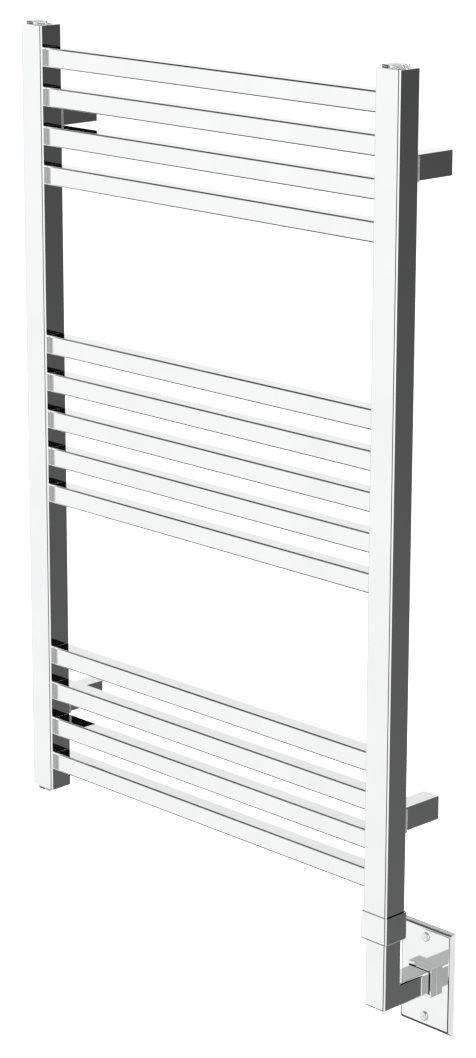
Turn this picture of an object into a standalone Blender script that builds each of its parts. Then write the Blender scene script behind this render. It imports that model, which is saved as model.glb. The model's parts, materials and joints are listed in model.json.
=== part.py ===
"""Hardwired towel warmer rack: two square posts, thirteen crossbars, four square wall brackets, and the
square elbow that brings the supply leads in from a wall plate.

Frame: X to the right, Y into the wall (the wall face is Y = 0, the rack's front faces -Y), Z up.
X = 0 is midway between the posts and Z = 0 is level with the left post's lower end.
"""

import math

import bmesh
import bpy
from mathutils import Matrix, Vector

MM = 0.001

# Gaps
FIT = 0.3 * MM                      # gap between pieces that touch
EDGE_R = 1.6 * MM                   # rounding along every square tube
WALL = 1.5 * MM                     # wall thickness of the square tubes

# Frame
POST_PITCH = 490.0 * MM             # post centre to post centre
POST_W = 30.5 * MM
POST_D = 27.5 * MM
POST_H = 815.0 * MM
POST_TAIL = 4.0 * MM                # the right post reaches this far down into the collar
FRONT_TO_WALL = 80.0 * MM           # post front face to the wall

BAR_SIZE = 20.0 * MM
BAR_SETBACK = 5.8 * MM              # bar front behind the post front
BAR_PITCH = 39.75 * MM
BAR_GROUPS = ((4, 31.8 * MM), (5, 327.3 * MM), (4, 664.6 * MM))   # bars, first bar below the post top
PORT_R = 6.0 * MM                   # port from each bar into the posts

# Post ends
PLUG_T = 2.5 * MM
PLUG_LENGTH = 8.0 * MM
CAP_W = 18.6 * MM
CAP_D = 20.4 * MM
CAP_FORWARD = 2.0 * MM              # cap centre in front of the post's centre
CAP_RISE = 3.2 * MM
CAP_CORNER = 2.0 * MM
STUD_R = 4.0 * MM
STUD_LENGTH = 6.0 * MM

# Heating element
ELEMENT_R = 5.0 * MM
ELEMENT_TOP = 640.0 * MM
NECK_R = 9.0 * MM                   # threaded neck of the element head, in the socket
HEX_R = 13.0 * MM
HEX_H = 11.0 * MM
SEAL_R = 11.5 * MM
SEAL_T = 2.0 * MM
SPIGOT_DROP = 16.0 * MM             # the head's round spigot reaches this far into the elbow

# Collar, elbow and wall outlet
COLLAR_W = 33.6 * MM
COLLAR_D = 30.6 * MM
COLLAR_H = 28.8 * MM
COLLAR_WALL = 1.2 * MM
ELBOW_W = 26.2 * MM
ELBOW_D = 23.4 * MM
ELBOW_TOP = -24.0 * MM              # hidden inside the collar
OUTLET_Z = -88.0 * MM               # centre of the arm, the flange and the plate
ARM_END_GAP = 1.5 * MM              # arm end to the wall, inside the flange and the plate
ARM_CLEARANCE = 1.1 * MM            # gap all round the arm where it passes the flange and the plate
FLANGE_SIZE = 31.0 * MM
FLANGE_FRONT = 12.8 * MM            # flange front face to the wall
PLATE_W = 70.6 * MM
PLATE_H = 110.2 * MM
PLATE_T = 4.5 * MM
PLATE_SHEET = 1.5 * MM
PLATE_BEVEL = 4.0 * MM
PLATE_LIP = 0.6 * MM                # square edge left at the wall
PLATE_RIM = 6.0 * MM                # width of the rim that rests on the wall
PLATE_SCREW_PITCH = 84.8 * MM
LEAD_R = 1.6 * MM
LEAD_PITCH = 5.0 * MM
LEAD_BEND_R = 10.0 * MM

# Wall brackets
BRACKET_HEIGHTS = {"upper": 723.6 * MM, "lower": 92.5 * MM}
PAD_W = 28.0 * MM
PAD_H = 24.0 * MM
PAD_T = 2.4 * MM
STEM_W = 20.0 * MM
STEM_H = 24.0 * MM
STEM_END = 1.0 * MM                 # stem's open end to the wall
BLOCK_CLEARANCE = 0.4 * MM          # the stem slides on the wall block
BLOCK_DEPTH = 24.0 * MM             # wall block, from the wall
BLOCK_FLOOR = 4.0 * MM              # what is left under the wall screw's head
BLOCK_BORE_R = 4.2 * MM
GRUB_R = 2.0 * MM
GRUB_Y = -10.0 * MM
GRUB_LENGTH = 2.2 * MM

# Screws: head radius, head height, shank radius
POST_SCREW = (3.6 * MM, 2.4 * MM, 1.9 * MM)
POST_SCREW_REACH = 6.0 * MM         # shank past the post's back face
WALL_SCREW = (3.4 * MM, 2.2 * MM, 1.9 * MM)
PLATE_SCREW = (4.7 * MM, 1.3 * MM, 1.7 * MM)
DRIVE_R = 1.3 * MM                  # hexagon recess in every screw head

SIDES = {"left": -1, "right": 1}
FRONT_Y = -FRONT_TO_WALL
POST_Y = FRONT_Y + POST_D / 2
POST_BACK_Y = FRONT_Y + POST_D
PAD_BACK_Y = POST_BACK_Y + FIT + PAD_T
BAR_Y = FRONT_Y + BAR_SETBACK + BAR_SIZE / 2
OUTLET_X = POST_PITCH / 2
PLUG_SIZE = (POST_W - 2 * WALL - 2 * FIT, POST_D - 2 * WALL - 2 * FIT, PLUG_LENGTH)

COLOURS = {
    "chrome": ((0.86, 0.87, 0.88), 1.0, 0.06),
    "steel": ((0.60, 0.61, 0.62), 1.0, 0.30),
    "clear": ((0.92, 0.95, 0.96), 0.0, 0.08),
    "pad": ((0.30, 0.30, 0.31), 0.0, 0.60),
    "rubber": ((0.04, 0.04, 0.04), 0.0, 0.80),
    "sheath": ((0.42, 0.40, 0.37), 1.0, 0.45),
    "lead_black": ((0.03, 0.03, 0.03), 0.0, 0.50),
    "lead_white": ((0.85, 0.85, 0.83), 0.0, 0.50),
    "lead_green": ((0.05, 0.35, 0.10), 0.0, 0.50),
}


def clear_scene():
    for obj in list(bpy.data.objects):
        bpy.data.objects.remove(obj, do_unlink=True)


def new_collection(name):
    collection = bpy.data.collections.new(name)
    bpy.context.scene.collection.children.link(collection)
    return collection


def make_material(name):
    colour, metallic, roughness = COLOURS[name]
    material = bpy.data.materials.new(name)
    material.use_nodes = True
    shader = material.node_tree.nodes["Principled BSDF"]
    shader.inputs["Base Color"].default_value = (*colour, 1.0)
    shader.inputs["Metallic"].default_value = metallic
    shader.inputs["Roughness"].default_value = roughness
    return material


def add_object(name, bm, location, material):
    """Links a finished bmesh to the parts collection, at its place."""
    mesh = bpy.data.meshes.new(name)
    bm.normal_update()
    bm.to_mesh(mesh)
    bm.free()
    obj = bpy.data.objects.new(name, mesh)
    obj.location = location
    obj.data.materials.append(MATERIALS[material])
    PARTS.objects.link(obj)
    return obj


def add_cutter(name, bm, location):
    mesh = bpy.data.meshes.new(name)
    bm.normal_update()
    bm.to_mesh(mesh)
    bm.free()
    obj = bpy.data.objects.new(name, mesh)
    obj.location = location
    obj.hide_render = True
    obj.display_type = "WIRE"
    CUTTERS.objects.link(obj)
    return obj


def box_bmesh(size_x, size_y, size_z):
    bm = bmesh.new()
    bmesh.ops.create_cube(bm, size=1.0)
    bmesh.ops.scale(bm, vec=(size_x, size_y, size_z), verts=bm.verts)
    return bm


def cylinder_bmesh(radius, length, axis="Z", segments=24):
    """A cylinder centred on the origin, along X, Y or Z."""
    bm = bmesh.new()
    bmesh.ops.create_cone(bm, cap_ends=True, segments=segments, radius1=radius, radius2=radius, depth=length)
    turn = {"X": Vector((1, 0, 0)), "Y": Vector((0, 1, 0)), "Z": Vector((0, 0, 1))}[axis]
    rotation = Vector((0, 0, 1)).rotation_difference(turn).to_matrix()
    bmesh.ops.rotate(bm, cent=(0, 0, 0), matrix=rotation, verts=bm.verts)
    return bm


def open_faces(bm, *directions):
    """Removes the faces that point along the given directions, which leaves an open skin."""
    bm.normal_update()
    faces = [face for face in bm.faces if any(face.normal.dot(Vector(way)) > 0.99 for way in directions)]
    bmesh.ops.delete(bm, geom=faces, context="FACES_ONLY")


def bevel(obj, width, segments=3):
    """Rounds every edge that turns by more than 40 degrees."""
    modifier = obj.modifiers.new("Bevel", "BEVEL")
    modifier.width = width
    modifier.segments = segments
    modifier.limit_method = "ANGLE"
    modifier.angle_limit = math.radians(40)


def solidify_inward(obj, thickness):
    modifier = obj.modifiers.new("Solidify", "SOLIDIFY")
    modifier.thickness = thickness
    modifier.offset = -1.0
    modifier.use_even_offset = True


def boolean(obj, other, operation="DIFFERENCE"):
    modifier = obj.modifiers.new(f"{operation.title()} {other.name}", "BOOLEAN")
    modifier.operation = operation
    modifier.solver = "EXACT"
    modifier.object = other


def smooth(obj):
    obj.data.shade_smooth()
    obj.data.set_sharp_from_angle(angle=math.radians(35))


def square_tube(name, size, axis, centre):
    """A chrome square tube with rounded edges and open ends, along X or Z."""
    bm = box_bmesh(*size)
    direction = Vector((1, 0, 0)) if axis == "X" else Vector((0, 0, 1))
    open_faces(bm, direction, -direction)
    tube = add_object(name, bm, centre, "chrome")
    bevel(tube, EDGE_R)
    solidify_inward(tube, WALL)
    smooth(tube)
    return tube


def turned(name, outline, place, facing, material, segments=24):
    """Turns an outline of (radius, height) points about its own axis, which then points along facing."""
    mesh = bpy.data.meshes.new(name)
    edges = [(index, index + 1) for index in range(len(outline) - 1)]
    if outline[0][0] > 0.0:
        edges.append((len(outline) - 1, 0))
    mesh.from_pydata([(radius, 0.0, height) for radius, height in outline], edges, [])
    obj = bpy.data.objects.new(name, mesh)
    obj.location = place
    obj.rotation_mode = "QUATERNION"
    obj.rotation_quaternion = Vector((0, 0, 1)).rotation_difference(Vector(facing))
    PARTS.objects.link(obj)
    screw = obj.modifiers.new("Screw", "SCREW")
    screw.steps = segments
    screw.render_steps = segments
    screw.use_merge_vertices = True
    screw.merge_threshold = 0.000001
    mesh.materials.append(MATERIALS[material])
    return obj


def screw_piece(name, sizes, length, place, facing):
    """A raised-head screw with a hexagon drive, seated at the place, its head pointing along facing."""
    head_r, head_h, shank_r = sizes
    rim_h = head_h * 0.35
    outline = [
        (0.0, head_h),
        (head_r * 0.55, head_h * 0.92),
        (head_r * 0.85, head_h * 0.66),
        (head_r, rim_h),
        (head_r, 0.0),
        (shank_r, 0.0),
        (shank_r, -length),
        (0.0, -length),
    ]
    screw = turned(name, outline, place, facing, "steel", segments=16)
    drive = cylinder_bmesh(DRIVE_R, head_h, "Z", segments=6)
    recess = add_cutter(f"{name}_drive", drive, Vector(place) + Vector(facing) * head_h)
    recess.rotation_mode = "QUATERNION"
    recess.rotation_quaternion = screw.rotation_quaternion
    boolean(screw, recess)
    return screw


def bar_heights():
    heights = []
    for count, first in BAR_GROUPS:
        heights += [POST_H - first - index * BAR_PITCH for index in range(count)]
    return heights


def make_posts():
    for side, sign in SIDES.items():
        tail = POST_TAIL if side == "right" else 0.0
        size = (POST_W, POST_D, POST_H + tail)
        post_x = sign * POST_PITCH / 2
        post = square_tube(f"{side}_post", size, "Z", (post_x, POST_Y, (POST_H - tail) / 2))
        inner_face_x = sign * (POST_PITCH - POST_W) / 2
        for number, height in enumerate(bar_heights(), start=1):
            port = cylinder_bmesh(PORT_R, 4 * WALL, "X", segments=12)
            boolean(post, add_cutter(f"{side}_port_{number:02d}", port, (inner_face_x, BAR_Y, height)))
        for level, height in BRACKET_HEIGHTS.items():
            hole = cylinder_bmesh(POST_SCREW[2] + FIT, 4 * WALL, "Y", segments=12)
            boolean(post, add_cutter(f"{side}_post_hole_{level}", hole, (post_x, POST_BACK_Y, height)))


def make_crossbars():
    size = (POST_PITCH - POST_W - 2 * FIT, BAR_SIZE, BAR_SIZE)
    for number, height in enumerate(bar_heights(), start=1):
        square_tube(f"crossbar_{number:02d}", size, "X", (0, BAR_Y, height))


def make_post_end(side, end):
    """A skirted plug that closes the post's end, and the raised square cap whose stud sits in it."""
    up = 1 if end == "top" else -1
    face_z = POST_H if end == "top" else 0.0
    post_x = SIDES[side] * POST_PITCH / 2

    bm = box_bmesh(*PLUG_SIZE)
    open_faces(bm, (0, 0, -up))
    plug = add_object(f"{side}_{end}_plug", bm, (post_x, POST_Y, face_z - up * PLUG_LENGTH / 2), "chrome")
    solidify_inward(plug, PLUG_T)
    cap_y = POST_Y - CAP_FORWARD
    hole = cylinder_bmesh(STUD_R + FIT, 4 * PLUG_T)
    boolean(plug, add_cutter(f"{side}_{end}_plug_hole", hole, (post_x, cap_y, face_z)))

    head = box_bmesh(CAP_W, CAP_D, CAP_RISE)
    uprights = [edge for edge in head.edges if abs(edge.verts[0].co.z - edge.verts[1].co.z) > CAP_RISE / 2]
    bmesh.ops.bevel(head, geom=uprights, offset=CAP_CORNER, segments=4, profile=0.5, affect="EDGES")
    cap_z = face_z + up * (FIT + CAP_RISE / 2)
    cap = add_object(f"{side}_{end}_cap", head, (post_x, cap_y, cap_z), "clear")
    stud_top = FIT + CAP_RISE / 2
    stud = cylinder_bmesh(STUD_R, stud_top + STUD_LENGTH, segments=16)
    stud_z = face_z + up * (stud_top - STUD_LENGTH) / 2
    boolean(cap, add_cutter(f"{side}_{end}_stud", stud, (post_x, cap_y, stud_z)), "UNION")
    bevel(cap, 0.4 * MM, segments=2)
    smooth(cap)


def make_element():
    """The rod element in the right post: its socket, seal, hexagon head and rod."""
    floor_z = -POST_TAIL
    middle = (OUTLET_X, POST_Y, floor_z + PLUG_LENGTH / 2)
    socket = add_object("element_socket", box_bmesh(*PLUG_SIZE), middle, "steel")
    bore = cylinder_bmesh(NECK_R + FIT, 2 * PLUG_LENGTH)
    boolean(socket, add_cutter("element_socket_bore", bore, middle))

    seal_top = -FIT
    seal_outline = [
        (SEAL_R, seal_top),
        (SEAL_R, seal_top - SEAL_T),
        (NECK_R + FIT, seal_top - SEAL_T),
        (NECK_R + FIT, seal_top),
    ]
    turned("element_seal", seal_outline, (OUTLET_X, POST_Y, floor_z), (0, 0, 1), "rubber")

    hex_top = floor_z - SEAL_T - 2 * FIT
    hexagon = cylinder_bmesh(HEX_R, HEX_H, segments=6)
    half_flat = Matrix.Rotation(math.pi / 6, 3, "Z")
    bmesh.ops.rotate(hexagon, cent=(0, 0, 0), matrix=half_flat, verts=hexagon.verts)
    head = add_object("element_head", hexagon, (OUTLET_X, POST_Y, hex_top - HEX_H / 2), "steel")
    neck_top = floor_z + PLUG_LENGTH
    spigot_bottom = hex_top - HEX_H - SPIGOT_DROP
    core = cylinder_bmesh(NECK_R, neck_top - spigot_bottom)
    core_place = (OUTLET_X, POST_Y, (neck_top + spigot_bottom) / 2)
    boolean(head, add_cutter("element_head_core", core, core_place), "UNION")

    rod_bottom = neck_top + FIT
    rod_outline = [
        (0.0, ELEMENT_TOP),
        (ELEMENT_R * 0.6, ELEMENT_TOP - ELEMENT_R * 0.2),
        (ELEMENT_R, ELEMENT_TOP - ELEMENT_R),
        (ELEMENT_R, rod_bottom),
        (0.0, rod_bottom),
    ]
    turned("heating_element", rod_outline, (OUTLET_X, POST_Y, 0.0), (0, 0, 1), "sheath", segments=16)
    return spigot_bottom


def make_collar():
    """A square sleeve with a floor that fits the elbow; it hangs below the post and slides up over it."""
    bm = box_bmesh(COLLAR_W, COLLAR_D, COLLAR_H)
    open_faces(bm, (0, 0, 1))
    collar = add_object("element_collar", bm, (OUTLET_X, POST_Y, -COLLAR_H / 2), "chrome")
    bevel(collar, EDGE_R)
    solidify_inward(collar, COLLAR_WALL)
    clear = 2 * 0.35 * MM
    opening = box_bmesh(ELBOW_W + clear, ELBOW_D + clear, 4 * COLLAR_WALL)
    boolean(collar, add_cutter("collar_floor_opening", opening, (OUTLET_X, POST_Y, -COLLAR_H)))
    smooth(collar)


def make_elbow():
    """The L-shaped housing: a box for the leg, its lower back extruded to the wall as the arm."""
    bottom = OUTLET_Z - ELBOW_D / 2
    arm_top = OUTLET_Z + ELBOW_D / 2
    height = ELBOW_TOP - bottom
    middle_z = (ELBOW_TOP + bottom) / 2
    bm = box_bmesh(ELBOW_W, ELBOW_D, height)
    everything = bm.verts[:] + bm.edges[:] + bm.faces[:]
    bmesh.ops.bisect_plane(bm, geom=everything, plane_co=(0, 0, arm_top - middle_z), plane_no=(0, 0, 1))
    bm.normal_update()
    back = [face for face in bm.faces if face.normal.y > 0.99]
    seat = min(back, key=lambda face: face.calc_center_median().z)
    grown = bmesh.ops.extrude_face_region(bm, geom=[seat])["geom"]
    moved = [item for item in grown if isinstance(item, bmesh.types.BMVert)]
    reach = -ARM_END_GAP - (POST_Y + ELBOW_D / 2)
    bmesh.ops.translate(bm, vec=(0, reach, 0), verts=moved)
    bmesh.ops.delete(bm, geom=[seat], context="FACES_ONLY")
    bm.normal_update()
    ends = [face for face in bm.faces if face.normal.z > 0.99 and face.calc_center_median().z > height / 2.1]
    ends += [face for face in bm.faces if face.normal.y > 0.99 and face.calc_center_median().y > reach / 2]
    bmesh.ops.delete(bm, geom=ends, context="FACES_ONLY")
    elbow = add_object("elbow_housing", bm, (OUTLET_X, POST_Y, middle_z), "chrome")
    bevel(elbow, EDGE_R)
    solidify_inward(elbow, WALL)
    smooth(elbow)


def make_leads(top_z):
    """Three insulated leads, from under the element head down the elbow and back to the wall."""
    names = ("lead_black", "lead_white", "lead_green")
    turn_y = POST_Y + LEAD_BEND_R
    turn_z = OUTLET_Z + LEAD_BEND_R
    for index, name in enumerate(names):
        lead_x = OUTLET_X + (index - 1) * LEAD_PITCH
        points = [(lead_x, POST_Y, top_z - FIT - step * (top_z - FIT - turn_z) / 4) for step in range(4)]
        for step in range(7):
            angle = math.radians(15 * step)
            bend_y = turn_y - LEAD_BEND_R * math.cos(angle)
            bend_z = turn_z - LEAD_BEND_R * math.sin(angle)
            points.append((lead_x, bend_y, bend_z))
        run = -ARM_END_GAP - turn_y
        points += [(lead_x, turn_y + run * step / 5, OUTLET_Z) for step in range(1, 6)]
        curve = bpy.data.curves.new(name, "CURVE")
        curve.dimensions = "3D"
        curve.bevel_depth = LEAD_R
        curve.bevel_resolution = 2
        curve.use_fill_caps = True
        spline = curve.splines.new("POLY")
        spline.points.add(len(points) - 1)
        for point, place in zip(spline.points, points):
            point.co = (*place, 1.0)
        curve.materials.append(MATERIALS[name])
        PARTS.objects.link(bpy.data.objects.new(name, curve))


def make_wall_outlet():
    """The square flange round the arm, the bevelled cover plate behind it and the plate's two screws."""
    flange_depth = FLANGE_FRONT - PLATE_T - FIT
    flange_y = -FLANGE_FRONT + flange_depth / 2
    size = (FLANGE_SIZE, flange_depth, FLANGE_SIZE)
    flange = add_object("wall_flange", box_bmesh(*size), (OUTLET_X, flange_y, OUTLET_Z), "chrome")
    bevel(flange, 0.8 * MM)
    arm_hole_size = (ELBOW_W + 2 * ARM_CLEARANCE, 4 * FLANGE_FRONT, ELBOW_D + 2 * ARM_CLEARANCE)
    arm_hole = add_cutter("arm_hole", box_bmesh(*arm_hole_size), (OUTLET_X, flange_y, OUTLET_Z))
    boolean(flange, arm_hole)
    smooth(flange)

    bm = box_bmesh(PLATE_W, PLATE_T, PLATE_H)
    everything = bm.verts[:] + bm.edges[:] + bm.faces[:]
    bmesh.ops.bisect_plane(bm, geom=everything, plane_co=(0, PLATE_T / 2 - PLATE_LIP, 0), plane_no=(0, 1, 0))
    front = [vert for vert in bm.verts if vert.co.y < -PLATE_T / 2 + PLATE_LIP]
    shrink = ((PLATE_W - 2 * PLATE_BEVEL) / PLATE_W, 1.0, (PLATE_H - 2 * PLATE_BEVEL) / PLATE_H)
    bmesh.ops.scale(bm, vec=shrink, verts=front)
    plate = add_object("cover_plate", bm, (OUTLET_X, -PLATE_T / 2, OUTLET_Z), "chrome")
    pocket_depth = PLATE_T - PLATE_SHEET
    pocket = box_bmesh(PLATE_W - 2 * PLATE_RIM, 2 * pocket_depth, PLATE_H - 2 * PLATE_RIM)
    boolean(plate, add_cutter("plate_pocket", pocket, (OUTLET_X, 0, OUTLET_Z)))
    boolean(plate, arm_hole)
    for level, sign in (("upper", 1), ("lower", -1)):
        screw_z = OUTLET_Z + sign * PLATE_SCREW_PITCH / 2
        hole = cylinder_bmesh(PLATE_SCREW[2] + FIT, 4 * PLATE_T, "Y", segments=16)
        boolean(plate, add_cutter(f"plate_hole_{level}", hole, (OUTLET_X, -PLATE_T, screw_z)))
        place = (OUTLET_X, -PLATE_T - FIT, screw_z)
        screw_piece(f"plate_screw_{level}", PLATE_SCREW, PLATE_T, place, (0, -1, 0))


def make_bracket(side, level):
    """One bracket: pad, square stem and screw on the post, and in the stem a block and its wall screw."""
    tag = f"{level}_{side}"
    post_x = SIDES[side] * POST_PITCH / 2
    height = BRACKET_HEIGHTS[level]
    toward_wall = (0, 1, 0)
    toward_room = (0, -1, 0)

    pad_y = POST_BACK_Y + FIT + PAD_T / 2
    pad = add_object(f"bracket_pad_{tag}", box_bmesh(PAD_W, PAD_T, PAD_H), (post_x, pad_y, height), "pad")
    hole = cylinder_bmesh(POST_SCREW[2] + FIT, 4 * PAD_T, "Y", segments=16)
    boolean(pad, add_cutter(f"pad_hole_{tag}", hole, (post_x, pad_y, height)))

    stem_foot = PAD_BACK_Y + FIT
    stem_length = -STEM_END - stem_foot
    bm = box_bmesh(STEM_W, stem_length, STEM_H)
    open_faces(bm, toward_wall)
    stem = add_object(f"bracket_stem_{tag}", bm, (post_x, stem_foot + stem_length / 2, height), "chrome")
    bevel(stem, EDGE_R)
    solidify_inward(stem, WALL)
    hole = cylinder_bmesh(POST_SCREW[2] + FIT, 4 * WALL, "Y", segments=16)
    boolean(stem, add_cutter(f"stem_hole_{tag}", hole, (post_x, stem_foot, height)))
    hole = cylinder_bmesh(GRUB_R + FIT, STEM_H / 2, segments=12)
    boolean(stem, add_cutter(f"grub_hole_{tag}", hole, (post_x, GRUB_Y, height - STEM_H / 2)))
    smooth(stem)
    seat_y = stem_foot + WALL + FIT
    shank = seat_y - POST_BACK_Y + POST_SCREW_REACH
    screw_piece(f"post_screw_{tag}", POST_SCREW, shank, (post_x, seat_y, height), toward_wall)

    block_w = STEM_W - 2 * WALL - 2 * BLOCK_CLEARANCE
    block_h = STEM_H - 2 * WALL - 2 * BLOCK_CLEARANCE
    block_y = -BLOCK_DEPTH / 2
    block = box_bmesh(block_w, BLOCK_DEPTH, block_h)
    block = add_object(f"wall_block_{tag}", block, (post_x, block_y, height), "steel")
    bore = cylinder_bmesh(BLOCK_BORE_R, BLOCK_DEPTH, "Y")
    boolean(block, add_cutter(f"block_bore_{tag}", bore, (post_x, block_y - BLOCK_FLOOR, height)))
    hole = cylinder_bmesh(WALL_SCREW[2] + FIT, 4 * BLOCK_FLOOR, "Y", segments=16)
    boolean(block, add_cutter(f"block_hole_{tag}", hole, (post_x, 0.0, height)))
    seat = (post_x, -BLOCK_FLOOR - FIT, height)
    screw_piece(f"wall_screw_{tag}", WALL_SCREW, BLOCK_FLOOR + FIT, seat, toward_room)

    grub_outline = [(0.0, 0.0), (GRUB_R, 0.0), (GRUB_R, -GRUB_LENGTH), (0.0, -GRUB_LENGTH)]
    grub_z = height - block_h / 2 - FIT
    turned(f"bracket_grub_{tag}", grub_outline, (post_x, GRUB_Y, grub_z), (0, 0, 1), "steel", segments=12)


clear_scene()
PARTS = new_collection("towel_warmer_rack")
CUTTERS = new_collection("cutters")
MATERIALS = {name: make_material(name) for name in COLOURS}

make_posts()
make_crossbars()
make_post_end("left", "top")
make_post_end("left", "bottom")
make_post_end("right", "top")
make_leads(make_element())
make_collar()
make_elbow()
make_wall_outlet()
for rack_side in SIDES:
    for rack_level in BRACKET_HEIGHTS:
        make_bracket(rack_side, rack_level)
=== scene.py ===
"""Looks of the towel warmer rack: fine chrome tubes and fittings, brackets, caps, studio and camera."""

import json
import math

import bmesh
import bpy
from mathutils import Euler, Matrix, Vector

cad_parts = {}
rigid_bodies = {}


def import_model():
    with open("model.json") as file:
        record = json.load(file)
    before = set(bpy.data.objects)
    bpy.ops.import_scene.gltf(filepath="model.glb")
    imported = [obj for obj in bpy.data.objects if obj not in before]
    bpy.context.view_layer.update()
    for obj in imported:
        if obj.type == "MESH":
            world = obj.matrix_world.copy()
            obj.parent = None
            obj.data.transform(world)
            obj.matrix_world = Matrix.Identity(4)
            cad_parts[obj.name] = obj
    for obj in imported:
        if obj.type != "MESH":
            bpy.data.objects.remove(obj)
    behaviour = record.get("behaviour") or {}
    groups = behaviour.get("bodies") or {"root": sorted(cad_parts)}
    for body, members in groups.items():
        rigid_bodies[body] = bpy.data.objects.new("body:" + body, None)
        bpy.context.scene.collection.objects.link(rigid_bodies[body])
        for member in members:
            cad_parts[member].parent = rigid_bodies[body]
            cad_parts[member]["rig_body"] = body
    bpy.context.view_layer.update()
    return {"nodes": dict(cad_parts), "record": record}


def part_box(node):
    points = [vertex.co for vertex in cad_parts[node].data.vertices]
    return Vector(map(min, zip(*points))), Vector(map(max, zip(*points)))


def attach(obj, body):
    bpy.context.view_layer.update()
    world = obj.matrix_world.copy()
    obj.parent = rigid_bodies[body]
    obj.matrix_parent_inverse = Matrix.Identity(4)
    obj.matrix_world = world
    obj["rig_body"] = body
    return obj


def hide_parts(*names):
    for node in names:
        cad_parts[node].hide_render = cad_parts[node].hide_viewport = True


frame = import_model()

MM = 0.001

# Tube sections
EDGE_R = 2.0 * MM                   # rounding along the square tubes
EDGE_STEPS = 8
SMALL_STEPS = 4                     # steps in the small roundings
BAR_END_R = 0.4 * MM                # rounding of each crossbar's rim where it meets a post
WALL = 1.5 * MM
COLLAR_WALL = 1.2 * MM
ELBOW_DEPTH = 23.4 * MM             # the elbow's leg from front to back, and its arm from top to bottom
COLLAR_CLEARANCE = 0.35 * MM        # the elbow in the collar's floor
ARM_CLEARANCE = 1.1 * MM            # the arm in the flange and the plate
FLANGE_EDGE_R = 0.2 * MM
FLANGE_SEAT = 0.28 * MM             # the flange is drawn down onto the plate by this much
PLATE_BEVEL = 4.0 * MM
PLATE_LIP = 0.6 * MM
PLATE_SHEET = 1.5 * MM
PLATE_RIM = 6.0 * MM
PLATE_EDGE_R = 0.25 * MM
PLATE_FACE_R = 1.1 * MM             # rounding between the plate's flat face and its bevels
SCREW_SHANK_R = 1.7 * MM
SCREW_CLEARANCE = 0.3 * MM
SCREW_HEAD_H = 1.3 * MM
SCREW_RIM_R = 0.9 * MM
SCREW_RIM_STEPS = 8
SCREW_RECESS_R = 0.9 * MM
SCREW_RECESS_FLOOR = 0.6            # height of the recess's floor, as a share of the head's height
SCREW_RECESS_FLAT = 0.3             # radius of that floor, as a share of the recess's radius

# Caps and brackets
CAP_CORNER = 2.0 * MM
CAP_EDGE_R = 0.5 * MM
CAP_RISE = 3.2 * MM
STUD_R = 4.0 * MM
PAD_EDGE_R = 0.3 * MM
STEM_EDGE_R = 0.4 * MM
POST_SCREW_HOLE_R = 2.2 * MM
GRUB_HOLE_R = 2.3 * MM

TAGS = [f"{level}_{side}" for level in ("upper", "lower") for side in ("left", "right")]


# Materials

def link(tree, output, socket):
    tree.links.new(output, socket)


def new_material(name):
    material = bpy.data.materials.new(name)
    material.use_nodes = True
    tree = material.node_tree
    shader = tree.nodes["Principled BSDF"]
    place = tree.nodes.new("ShaderNodeTexCoord")
    return material, tree, shader, place.outputs["Object"]


def noise(tree, place, scale, detail=3.0, stretch=None):
    """A noise value over the object's own space, in cycles per metre."""
    if stretch:
        mapping = tree.nodes.new("ShaderNodeMapping")
        mapping.inputs["Scale"].default_value = stretch
        link(tree, place, mapping.inputs["Vector"])
        place = mapping.outputs["Vector"]
    node = tree.nodes.new("ShaderNodeTexNoise")
    node.inputs["Scale"].default_value = scale
    node.inputs["Detail"].default_value = detail
    link(tree, place, node.inputs["Vector"])
    return node.outputs["Fac"]


def spread(tree, value, low, high):
    """Maps the middle of a noise value onto low to high."""
    node = tree.nodes.new("ShaderNodeMapRange")
    node.inputs["From Min"].default_value = 0.3
    node.inputs["From Max"].default_value = 0.7
    node.inputs["To Min"].default_value = low
    node.inputs["To Max"].default_value = high
    link(tree, value, node.inputs["Value"])
    return node.outputs["Result"]


def two_tone(tree, value, dark, light):
    ramp = tree.nodes.new("ShaderNodeValToRGB")
    ramp.color_ramp.elements[0].position = 0.35
    ramp.color_ramp.elements[1].position = 0.65
    ramp.color_ramp.elements[0].color = (*dark, 1.0)
    ramp.color_ramp.elements[1].color = (*light, 1.0)
    link(tree, value, ramp.inputs["Fac"])
    return ramp.outputs["Color"]


def bump(tree, shader, value, strength, distance):
    node = tree.nodes.new("ShaderNodeBump")
    node.inputs["Strength"].default_value = strength
    node.inputs["Distance"].default_value = distance
    link(tree, value, node.inputs["Height"])
    link(tree, node.outputs["Normal"], shader.inputs["Normal"])


def surface(name, tones, rough, metallic, grain, bump_height, stretch=None):
    """A procedural finish: a slow drift of colour, a finer drift of roughness and a very small bump."""
    material, tree, shader, place = new_material(name)
    slow = noise(tree, place, grain * 0.25, stretch=stretch)
    fine = noise(tree, place, grain, detail=5.0, stretch=stretch)
    link(tree, two_tone(tree, slow, *tones), shader.inputs["Base Color"])
    link(tree, spread(tree, fine, *rough), shader.inputs["Roughness"])
    shader.inputs["Metallic"].default_value = metallic
    bump(tree, shader, fine, 0.2, bump_height)
    return material, shader


CLEAR_IOR = 1.45                    # the caps' plastic


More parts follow.
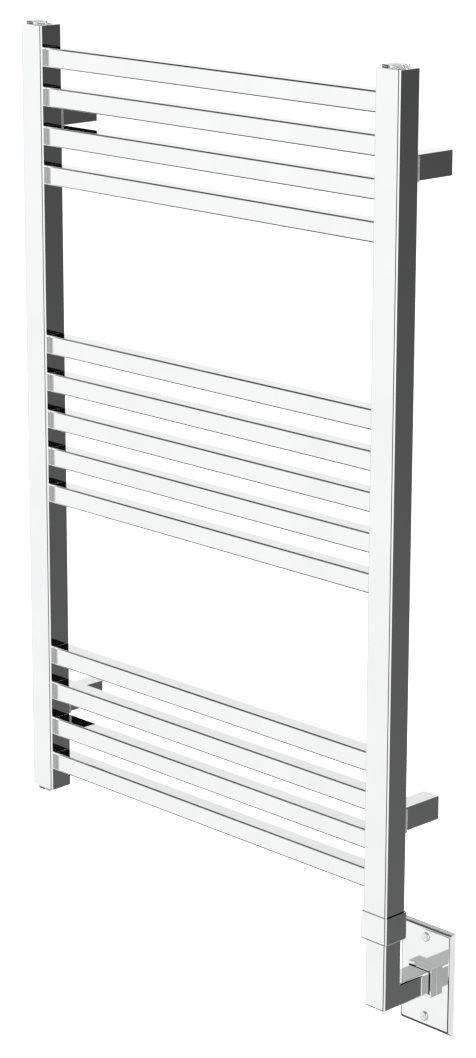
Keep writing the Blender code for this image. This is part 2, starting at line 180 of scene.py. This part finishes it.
def make_materials():
    made = {}
    made["chrome"], _ = surface(
        "polished_chrome", ((0.94, 0.94, 0.944), (0.968, 0.968, 0.970)), (0.015, 0.05), 1.0, 60.0, 0.000004
    )
    made["screw_chrome"], _ = surface(
        "satin_chrome", ((0.88, 0.88, 0.885), (0.94, 0.94, 0.944)), (0.08, 0.16), 1.0, 300.0, 0.000006
    )
    made["steel"], _ = surface(
        "plated_steel", ((0.55, 0.56, 0.57), (0.68, 0.69, 0.70)), (0.18, 0.32), 1.0, 400.0, 0.00002
    )
    made["sheath"], _ = surface(
        "element_sheath", ((0.30, 0.27, 0.24), (0.45, 0.43, 0.40)), (0.35, 0.55), 1.0, 200.0, 0.00004
    )
    made["pad"], _ = surface(
        "grey_pad", ((0.23, 0.23, 0.24), (0.33, 0.33, 0.34)), (0.45, 0.62), 0.0, 900.0, 0.00005
    )
    made["rubber"], _ = surface(
        "seal_rubber", ((0.02, 0.02, 0.02), (0.05, 0.05, 0.05)), (0.6, 0.85), 0.0, 700.0, 0.00006
    )
    leads = {
        "lead_black": ((0.02, 0.02, 0.02), (0.04, 0.04, 0.045)),
        "lead_white": ((0.70, 0.70, 0.67), (0.82, 0.82, 0.80)),
        "lead_green": ((0.03, 0.22, 0.06), (0.05, 0.32, 0.10)),
    }
    for name, tones in leads.items():
        made[name], _ = surface(f"{name}_insulation", tones, (0.35, 0.5), 0.0, 500.0, 0.00003)
    made["clear"], shader = surface(
        "clear_polycarbonate", ((0.97, 0.985, 0.99), (0.99, 0.995, 1.0)), (0.0, 0.05), 0.0, 120.0, 0.00001
    )
    shader.inputs["Transmission Weight"].default_value = 1.0
    shader.inputs["IOR"].default_value = CLEAR_IOR
    return made


# Shapes

def finish_piece(obj, node, material):
    """Paints a new piece, rides it where its CAD node rides, and hides that node."""
    obj.data.materials.clear()
    obj.data.materials.append(material)
    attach(obj, frame["nodes"][node]["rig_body"])
    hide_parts(node)
    return obj


def object_from(name, bm, centre=(0, 0, 0)):
    mesh = bpy.data.meshes.new(name)
    bm.normal_update()
    bm.to_mesh(mesh)
    bm.free()
    obj = bpy.data.objects.new(name, mesh)
    obj.location = centre
    bpy.context.scene.collection.objects.link(obj)
    return obj


def box_bmesh(size):
    bm = bmesh.new()
    bmesh.ops.create_cube(bm, size=1.0)
    bmesh.ops.scale(bm, vec=size, verts=bm.verts)
    return bm


def cylinder_bmesh(radius, length, axis="Z", segments=48):
    bm = bmesh.new()
    bmesh.ops.create_cone(bm, cap_ends=True, segments=segments, radius1=radius, radius2=radius, depth=length)
    turn = {"X": Vector((1, 0, 0)), "Y": Vector((0, 1, 0)), "Z": Vector((0, 0, 1))}[axis]
    rotation = Vector((0, 0, 1)).rotation_difference(turn).to_matrix()
    bmesh.ops.rotate(bm, cent=(0, 0, 0), matrix=rotation, verts=bm.verts)
    return bm


def cutter(name, bm, centre):
    obj = object_from(name, bm, centre)
    obj.hide_render = True
    obj.display_type = "WIRE"
    CUTTERS.append(obj)
    return obj


def add_bevel(obj, width, segments=EDGE_STEPS):
    modifier = obj.modifiers.new("Bevel", "BEVEL")
    modifier.width = width
    modifier.segments = segments
    modifier.limit_method = "ANGLE"
    modifier.angle_limit = math.radians(40)
    modifier.harden_normals = False


def add_shell(obj, thickness):
    modifier = obj.modifiers.new("Solidify", "SOLIDIFY")
    modifier.thickness = thickness
    modifier.offset = -1.0
    modifier.use_even_offset = True


def add_cut(obj, other, operation="DIFFERENCE"):
    modifier = obj.modifiers.new("Boolean", "BOOLEAN")
    modifier.operation = operation
    modifier.solver = "EXACT"
    modifier.object = other


def bake(obj, smooth_angle=35.0):
    """Applies the modifiers and shades the result smooth; weighted normals keep the flat faces flat."""
    graph = bpy.context.evaluated_depsgraph_get()
    mesh = bpy.data.meshes.new_from_object(obj.evaluated_get(graph))
    obj.modifiers.clear()
    obj.data = mesh
    mesh.shade_smooth()
    mesh.set_sharp_from_angle(angle=math.radians(smooth_angle))
    weighted = obj.modifiers.new("Weighted normals", "WEIGHTED_NORMAL")
    weighted.keep_sharp = True
    weighted.weight = 100
    return obj


def box_of(node):
    low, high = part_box(node)
    return (high - low), (low + high) / 2


def remove_faces(bm, chosen):
    bmesh.ops.delete(bm, geom=chosen, context="FACES_ONLY")


def facing(bm, direction):
    bm.normal_update()
    return [face for face in bm.faces if face.normal.dot(Vector(direction)) > 0.9999]


def round_edges(bm, edges, radius, segments):
    bmesh.ops.bevel(bm, geom=edges, offset=radius, segments=segments, profile=0.5, affect="EDGES")


def edges_along(bm, axis):
    """The straight edges of a fresh box that run along one axis (0, 1 or 2)."""
    found = []
    for edge in bm.edges:
        way = edge.verts[1].co - edge.verts[0].co
        if abs(way[axis]) > 0.99 * way.length:
            found.append(edge)
    return found


def square_tube(node, axis, end_radius=0.0):
    """A post or crossbar in the CAD tube's own box, with a finer rounding."""
    size, centre = box_of(node)
    direction = Vector((1, 0, 0)) if axis == 0 else Vector((0, 0, 1))
    bm = box_bmesh(size)
    round_edges(bm, edges_along(bm, axis), EDGE_R, EDGE_STEPS)
    ends = facing(bm, direction) + facing(bm, -direction)
    if end_radius:
        rims = list({edge for face in ends for edge in face.edges})
        round_edges(bm, rims, end_radius, SMALL_STEPS)
        ends = facing(bm, direction) + facing(bm, -direction)
    remove_faces(bm, ends)
    tube = object_from(f"{node}_tube", bm, centre)
    add_shell(tube, WALL)
    bake(tube)
    return finish_piece(tube, node, MATERIALS["chrome"])


def make_collar():
    size, centre = box_of("element_collar")
    elbow_size, _elbow_centre = box_of("elbow_housing")
    bm = box_bmesh(size)
    remove_faces(bm, facing(bm, (0, 0, 1)))
    collar = object_from("element_collar_sleeve", bm, centre)
    add_bevel(collar, EDGE_R)
    add_shell(collar, COLLAR_WALL)
    clear = 2 * COLLAR_CLEARANCE
    opening_size = (elbow_size.x + clear, ELBOW_DEPTH + clear, 4 * COLLAR_WALL)
    floor_centre = centre - Vector((0, 0, size.z / 2))
    add_cut(collar, cutter("collar_opening", box_bmesh(opening_size), floor_centre))
    bake(collar)
    finish_piece(collar, "element_collar", MATERIALS["chrome"])


def make_elbow():
    """The leg is a box; the lower part of its back is extruded as the arm."""
    size, centre = box_of("elbow_housing")
    low, _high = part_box("elbow_housing")
    leg_centre = Vector((centre.x, low.y + ELBOW_DEPTH / 2, centre.z))
    bm = box_bmesh((size.x, ELBOW_DEPTH, size.z))
    everything = bm.verts[:] + bm.edges[:] + bm.faces[:]
    arm_top = low.z + ELBOW_DEPTH - centre.z
    bmesh.ops.bisect_plane(bm, geom=everything, plane_co=(0, 0, arm_top), plane_no=(0, 0, 1))
    seat = min(facing(bm, (0, 1, 0)), key=lambda face: face.calc_center_median().z)
    grown = bmesh.ops.extrude_face_region(bm, geom=[seat])["geom"]
    moved = [item for item in grown if isinstance(item, bmesh.types.BMVert)]
    bmesh.ops.translate(bm, vec=(0, size.y - ELBOW_DEPTH, 0), verts=moved)
    remove_faces(bm, [seat])
    top = [face for face in facing(bm, (0, 0, 1)) if face.calc_center_median().z > size.z * 0.45]
    end = [face for face in facing(bm, (0, 1, 0)) if face.calc_center_median().y > ELBOW_DEPTH]
    remove_faces(bm, top + end)
    elbow = object_from("elbow_housing_shell", bm, leg_centre)
    add_bevel(elbow, EDGE_R)
    add_shell(elbow, WALL)
    bake(elbow)
    finish_piece(elbow, "elbow_housing", MATERIALS["chrome"])


def make_flange_and_plate():
    elbow_size, _elbow_centre = box_of("elbow_housing")
    flange_size, flange_centre = box_of("wall_flange")
    plate_size, plate_centre = box_of("cover_plate")
    hole_size = (elbow_size.x + 2 * ARM_CLEARANCE, 4 * flange_size.y, ELBOW_DEPTH + 2 * ARM_CLEARANCE)
    arm_hole = cutter("arm_opening", box_bmesh(hole_size), flange_centre)

    drawn_size = flange_size + Vector((0, FLANGE_SEAT, 0))
    drawn_centre = flange_centre + Vector((0, FLANGE_SEAT / 2, 0))
    flange = object_from("wall_flange_ring", box_bmesh(drawn_size), drawn_centre)
    add_bevel(flange, FLANGE_EDGE_R, 5)
    add_cut(flange, arm_hole)
    bake(flange)
    finish_piece(flange, "wall_flange", MATERIALS["chrome"])

    bm = box_bmesh(plate_size)
    everything = bm.verts[:] + bm.edges[:] + bm.faces[:]
    lip_y = plate_size.y / 2 - PLATE_LIP
    bmesh.ops.bisect_plane(bm, geom=everything, plane_co=(0, lip_y, 0), plane_no=(0, 1, 0))
    front = [vert for vert in bm.verts if vert.co.y < 0]
    shrink = (1 - 2 * PLATE_BEVEL / plate_size.x, 1.0, 1 - 2 * PLATE_BEVEL / plate_size.z)
    bmesh.ops.scale(bm, vec=shrink, verts=front)
    face_edges = [edge for edge in bm.edges if all(vert in front for vert in edge.verts)]
    round_edges(bm, face_edges, PLATE_FACE_R, 6)
    plate = object_from("cover_plate_pressing", bm, plate_centre)
    add_bevel(plate, PLATE_EDGE_R, 3)
    plate.modifiers["Bevel"].angle_limit = math.radians(30)
    depth = plate_size.y - PLATE_SHEET
    pocket_size = (plate_size.x - 2 * PLATE_RIM, 2 * depth, plate_size.z - 2 * PLATE_RIM)
    wall_centre = plate_centre + Vector((0, plate_size.y / 2, 0))
    add_cut(plate, cutter("plate_pocket", box_bmesh(pocket_size), wall_centre))
    add_cut(plate, arm_hole)
    for level in ("upper", "lower"):
        _screw_size, screw_centre = box_of(f"plate_screw_{level}")
        hole = cylinder_bmesh(SCREW_SHANK_R + SCREW_CLEARANCE, 4 * plate_size.y, "Y")
        add_cut(plate, cutter(f"plate_hole_{level}", hole, screw_centre))
    bake(plate, 20.0)
    finish_piece(plate, "cover_plate", MATERIALS["chrome"])


def turned(name, outline, place, facing_way, segments=48):
    """Turns an outline of (radius, height) points about its own axis, which then points along facing_way."""
    bm = bmesh.new()
    points = [bm.verts.new((radius, 0.0, height)) for radius, height in outline]
    sides = [bm.edges.new(pair) for pair in zip(points, points[1:])]
    whole = points + sides
    turn = 2 * math.pi
    bmesh.ops.spin(bm, geom=whole, cent=(0, 0, 0), axis=(0, 0, 1), angle=turn, steps=segments, use_merge=True)
    bmesh.ops.remove_doubles(bm, verts=bm.verts, dist=0.000001)
    bmesh.ops.recalc_face_normals(bm, faces=bm.faces)
    aim = Vector((0, 0, 1)).rotation_difference(Vector(facing_way)).to_matrix()
    bmesh.ops.rotate(bm, cent=(0, 0, 0), matrix=aim, verts=bm.verts)
    return object_from(name, bm, place)


def make_plate_screw(level):
    """A flat chrome head with a rounded rim and a small round recess, on a plain shank."""
    node = f"plate_screw_{level}"
    size, centre = box_of(node)
    low, _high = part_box(node)
    head_r = size.x / 2
    shank_end = SCREW_HEAD_H - size.y
    floor_h = SCREW_HEAD_H * SCREW_RECESS_FLOOR
    outline = [(0.0, floor_h), (SCREW_RECESS_R * SCREW_RECESS_FLAT, floor_h), (SCREW_RECESS_R, SCREW_HEAD_H)]
    for step in range(SCREW_RIM_STEPS + 1):
        angle = math.pi / 2 * step / SCREW_RIM_STEPS
        radius = head_r - SCREW_RIM_R + SCREW_RIM_R * math.sin(angle)
        height = SCREW_HEAD_H - SCREW_RIM_R + SCREW_RIM_R * math.cos(angle)
        outline.append((radius, height))
    outline += [(head_r, 0.0), (SCREW_SHANK_R, 0.0), (SCREW_SHANK_R, shank_end), (0.0, shank_end)]
    screw = turned(f"{node}_dome", outline, (centre.x, low.y + SCREW_HEAD_H, centre.z), (0, -1, 0))
    bake(screw)
    finish_piece(screw, node, MATERIALS["screw_chrome"])


def make_cap(node):
    """A clear square cap: a low block with round corners, and the stud that holds it in the plug."""
    low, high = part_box(node)
    centre = (low + high) / 2
    up = 1 if "top" in node else -1
    head_z = high.z - CAP_RISE / 2 if up > 0 else low.z + CAP_RISE / 2
    stud_tip = low.z if up > 0 else high.z
    bm = box_bmesh((high.x - low.x, high.y - low.y, CAP_RISE))
    round_edges(bm, edges_along(bm, 2), CAP_CORNER, EDGE_STEPS)
    flats = facing(bm, (0, 0, 1)) + facing(bm, (0, 0, -1))
    rims = list({edge for face in flats for edge in face.edges})
    round_edges(bm, rims, CAP_EDGE_R, SMALL_STEPS)
    cap = object_from(f"{node}_block", bm, (centre.x, centre.y, head_z))
    stud = cylinder_bmesh(STUD_R, abs(head_z - stud_tip))
    add_cut(cap, cutter(f"{node}_stud", stud, (centre.x, centre.y, (head_z + stud_tip) / 2)), "UNION")
    bake(cap)
    finish_piece(cap, node, MATERIALS["clear"])


def make_bracket(tag):
    """The grey pad behind the post, and the square chrome stem that stands on it, open at the wall."""
    pad_size, pad_centre = box_of(f"bracket_pad_{tag}")
    pad = object_from(f"bracket_pad_{tag}_moulding", box_bmesh(pad_size), pad_centre)
    add_bevel(pad, PAD_EDGE_R, SMALL_STEPS)
    hole = cylinder_bmesh(POST_SCREW_HOLE_R, 4 * pad_size.y, "Y")
    add_cut(pad, cutter(f"pad_hole_{tag}", hole, pad_centre))
    bake(pad)
    finish_piece(pad, f"bracket_pad_{tag}", MATERIALS["pad"])

    stem_size, stem_centre = box_of(f"bracket_stem_{tag}")
    stem_low, _stem_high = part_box(f"bracket_stem_{tag}")
    _grub_size, grub_centre = box_of(f"bracket_grub_{tag}")
    bm = box_bmesh(stem_size)
    remove_faces(bm, facing(bm, (0, 1, 0)))
    stem = object_from(f"bracket_stem_{tag}_tube", bm, stem_centre)
    add_bevel(stem, STEM_EDGE_R)
    add_shell(stem, WALL)
    hole = cylinder_bmesh(POST_SCREW_HOLE_R, 4 * WALL, "Y")
    add_cut(stem, cutter(f"stem_hole_{tag}", hole, (stem_centre.x, stem_low.y, stem_centre.z)))
    hole = cylinder_bmesh(GRUB_HOLE_R, 4 * WALL)
    add_cut(stem, cutter(f"grub_hole_{tag}", hole, (stem_centre.x, grub_centre.y, stem_low.z)))
    bake(stem)
    finish_piece(stem, f"bracket_stem_{tag}", MATERIALS["chrome"])


def tidy_cad_normals():
    """CAD nodes that still show: their split vertices are welded by a modifier and shaded smooth by angle."""
    for name, node in frame["nodes"].items():
        if node.hide_render:
            continue
        node.data.shade_smooth()
        weld = node.modifiers.new("Weld", "WELD")
        weld.merge_threshold = 0.000005
        split = node.modifiers.new("Edge split", "EDGE_SPLIT")
        split.split_angle = math.radians(35)


def paint_cad_nodes():
    slots = {row["node"]: row["material_slot"] for row in frame["record"]["subparts"]}
    for name, node in frame["nodes"].items():
        node.data.materials.clear()
        node.data.materials.append(MATERIALS[slots[name]])


# Studio

def math_node(tree, operation, *values):
    node = tree.nodes.new("ShaderNodeMath")
    node.operation = operation
    for socket, value in zip(node.inputs, values):
        if isinstance(value, (int, float)):
            socket.default_value = value
        else:
            link(tree, value, socket)
    return node.outputs["Value"]


def window(tree, value, low, high, soft):
    """1 between low and high, with soft edges."""
    rise = tree.nodes.new("ShaderNodeMapRange")
    rise.interpolation_type = "SMOOTHSTEP"
    rise.inputs["From Min"].default_value = low - soft
    rise.inputs["From Max"].default_value = low + soft
    link(tree, value, rise.inputs["Value"])
    fall = tree.nodes.new("ShaderNodeMapRange")
    fall.interpolation_type = "SMOOTHSTEP"
    fall.inputs["From Min"].default_value = high - soft
    fall.inputs["From Max"].default_value = high + soft
    fall.inputs["To Min"].default_value = 1.0
    fall.inputs["To Max"].default_value = 0.0
    link(tree, value, fall.inputs["Value"])
    return math_node(tree, "MULTIPLY", rise.outputs["Result"], fall.outputs["Result"])


# Studio panels round the object, drawn on the world in this order: name, bearing range, height range,
# softness, brightness at the low edge, brightness at the high edge. Bearings are in degrees, 0 in front of
# the rack (-Y), 90 to its right (+X); heights are degrees above the horizon. Their places suit this camera.
PANELS = (
    ("overhead", (-181, 181), (50, 91), 6, 0.55, 0.85),
    ("underneath", (-181, 181), (-91, -45), 6, 0.55, 0.45),
    ("front_left_low", (-78, -37), (-31, 6), 1.5, 0.92, 1.01),
    ("left_low", (-116, -78), (-45, 2), 3, 0.10, 0.15),
    ("back_left_low", (-152, -116), (-45, -12), 1, 0.36, 0.40),
    ("back_left_level", (-152, -116), (-12, 3), 1, 1.00, 1.00),
    ("front_low_strip", (-140, -20), (-62, -28.5), 1, 0.08, 0.08),
    ("front_gobo", (-38.5, 15), (-42, 40), 1.5, 0.02, 0.02),
    ("front_right", (16, 112), (-45, 35), 2, 0.95, 1.35),
    ("plate_side_strip", (44.6, 62), (-36, -21.7), 0.7, 0.80, 0.80),
    ("right_strip_low", (34, 44.3), (-36, -21.7), 0.7, 0.42, 0.42),
    ("right_strip_high", (46, 55), (-21.5, 5), 0.7, 0.42, 0.42),
    ("right_back_low", (112, 172), (-45, -1), 2, 0.19, 0.045),
    ("right_back_high", (112, 172), (-1, 50), 1, 0.004, 0.004),
    ("left_back_high", (-172, -100), (2, 32), 2, 1.0, 0.72),
    ("left_high_gobo", (-130, -61), (26, 52), 2, 0.02, 0.02),
    ("front_high_gobo", (-61, -30), (26, 37), 2, 0.02, 0.02),
    ("front_left_mid", (-78, -22), (6, 26), 1.5, 0.85, 0.45),
    ("back", (172, 188), (-45, 50), 2, 0.60, 0.60),
)
STUDIO_BASE = 0.6
BACKDROP = 0.99


def make_world():
    world = bpy.data.worlds.new("studio")
    bpy.context.scene.world = world
    world.use_nodes = True
    tree = world.node_tree
    tree.nodes.clear()
    place = tree.nodes.new("ShaderNodeTexCoord")
    split = tree.nodes.new("ShaderNodeSeparateXYZ")
    link(tree, place.outputs["Generated"], split.inputs["Vector"])
    x, y, z = (split.outputs[axis] for axis in "XYZ")
    bearing = math_node(tree, "ARCTAN2", x, math_node(tree, "MULTIPLY", y, -1.0))
    bearing = math_node(tree, "MULTIPLY", bearing, 180 / math.pi)
    height = math_node(tree, "MULTIPLY", math_node(tree, "ARCSINE", z), 180 / math.pi)

    level = math_node(tree, "ADD", STUDIO_BASE, 0.0)
    for _name, sides, rise, soft, at_low, at_high in PANELS:
        mask = window(tree, bearing, *sides, soft)
        mask = math_node(tree, "MULTIPLY", mask, window(tree, height, *rise, soft))
        grade = tree.nodes.new("ShaderNodeMapRange")
        grade.inputs["From Min"].default_value = rise[0]
        grade.inputs["From Max"].default_value = rise[1]
        grade.inputs["To Min"].default_value = at_low
        grade.inputs["To Max"].default_value = at_high
        link(tree, height, grade.inputs["Value"])
        change = math_node(tree, "SUBTRACT", grade.outputs["Result"], level)
        level = math_node(tree, "MULTIPLY_ADD", change, mask, level)

    tint = tree.nodes.new("ShaderNodeCombineColor")
    link(tree, math_node(tree, "MULTIPLY", level, 0.995), tint.inputs["Red"])
    link(tree, level, tint.inputs["Green"])
    link(tree, math_node(tree, "MULTIPLY", level, 1.003), tint.inputs["Blue"])
    lights = tree.nodes.new("ShaderNodeBackground")
    link(tree, tint.outputs["Color"], lights.inputs["Color"])
    backdrop = tree.nodes.new("ShaderNodeBackground")
    backdrop.inputs["Color"].default_value = (BACKDROP, BACKDROP, BACKDROP, 1.0)
    seen = tree.nodes.new("ShaderNodeLightPath")
    choose = tree.nodes.new("ShaderNodeMixShader")
    link(tree, seen.outputs["Is Camera Ray"], choose.inputs["Fac"])
    link(tree, lights.outputs["Background"], choose.inputs[1])
    link(tree, backdrop.outputs["Background"], choose.inputs[2])
    out = tree.nodes.new("ShaderNodeOutputWorld")
    link(tree, choose.outputs["Shader"], out.inputs["Surface"])


FLOOR_Z = -0.75
FLOOR_SIZE = 60.0
FLOOR_GLOW = 0.85                   # the floor is lit from below as well, like a light table


def make_floor():
    bm = bmesh.new()
    bmesh.ops.create_grid(bm, x_segments=1, y_segments=1, size=FLOOR_SIZE / 2)
    floor = object_from("studio_floor", bm, (0, 0, FLOOR_Z))
    material, tree, shader, place = new_material("pale_floor")
    tone = two_tone(tree, noise(tree, place, 2.0), (0.93, 0.93, 0.93), (0.95, 0.95, 0.95))
    link(tree, tone, shader.inputs["Base Color"])
    shader.inputs["Roughness"].default_value = 0.9
    shader.inputs["Specular IOR Level"].default_value = 0.0
    shader.inputs["Emission Color"].default_value = (1.0, 1.0, 1.0, 1.0)
    shader.inputs["Emission Strength"].default_value = FLOOR_GLOW
    floor.data.materials.append(material)
    floor.visible_glossy = False
    floor.visible_transmission = False


def make_lights():
    """One wide soft light overhead; the chrome doesn't show it."""
    data = bpy.data.lights.new("soft_overhead", "AREA")
    data.shape = "DISK"
    data.size = 3.0
    data.energy = 120.0
    light = bpy.data.objects.new("soft_overhead", data)
    light.location = (-0.5, -1.5, 3.2)
    light.rotation_euler = (Vector((0, 0, 0.4)) - light.location).to_track_quat("-Z", "Y").to_euler()
    light.visible_glossy = False
    bpy.context.scene.collection.objects.link(light)


CAMERA_PLACE = (2.1068, -2.0859, 1.1532)
CAMERA_PITCH = 15.655               # degrees down
CAMERA_YAW = 45.645                 # degrees left of +Y
CAMERA_ROLL = 0.1445
CAMERA_LENS = 103.55                # mm, on a 36 mm long side


def make_camera():
    data = bpy.data.cameras.new("camera")
    data.sensor_width = 36.0
    data.lens = CAMERA_LENS
    data.clip_end = 200.0
    camera = bpy.data.objects.new("camera", data)
    camera.location = CAMERA_PLACE
    aim = Euler((math.radians(90 - CAMERA_PITCH), 0.0, math.radians(CAMERA_YAW))).to_matrix()
    camera.rotation_euler = (aim @ Matrix.Rotation(math.radians(CAMERA_ROLL), 3, "Z")).to_euler()
    bpy.context.scene.collection.objects.link(camera)
    bpy.context.scene.camera = camera


CUTTERS = []
MATERIALS = make_materials()
make_camera()
paint_cad_nodes()
square_tube("left_post", 2)
square_tube("right_post", 2)
for bar in sorted(name for name in frame["nodes"] if name.startswith("crossbar_")):
    square_tube(bar, 0, BAR_END_R)
for cap_node in ("left_top_cap", "right_top_cap", "left_bottom_cap"):
    make_cap(cap_node)
make_collar()
make_elbow()
make_flange_and_plate()
for screw_level in ("upper", "lower"):
    make_plate_screw(screw_level)
for bracket_tag in TAGS:
    make_bracket(bracket_tag)
for used in CUTTERS:
    bpy.data.objects.remove(used)
tidy_cad_normals()
make_floor()
make_lights()
make_world()
bpy.context.scene.view_settings.view_transform = "Standard"
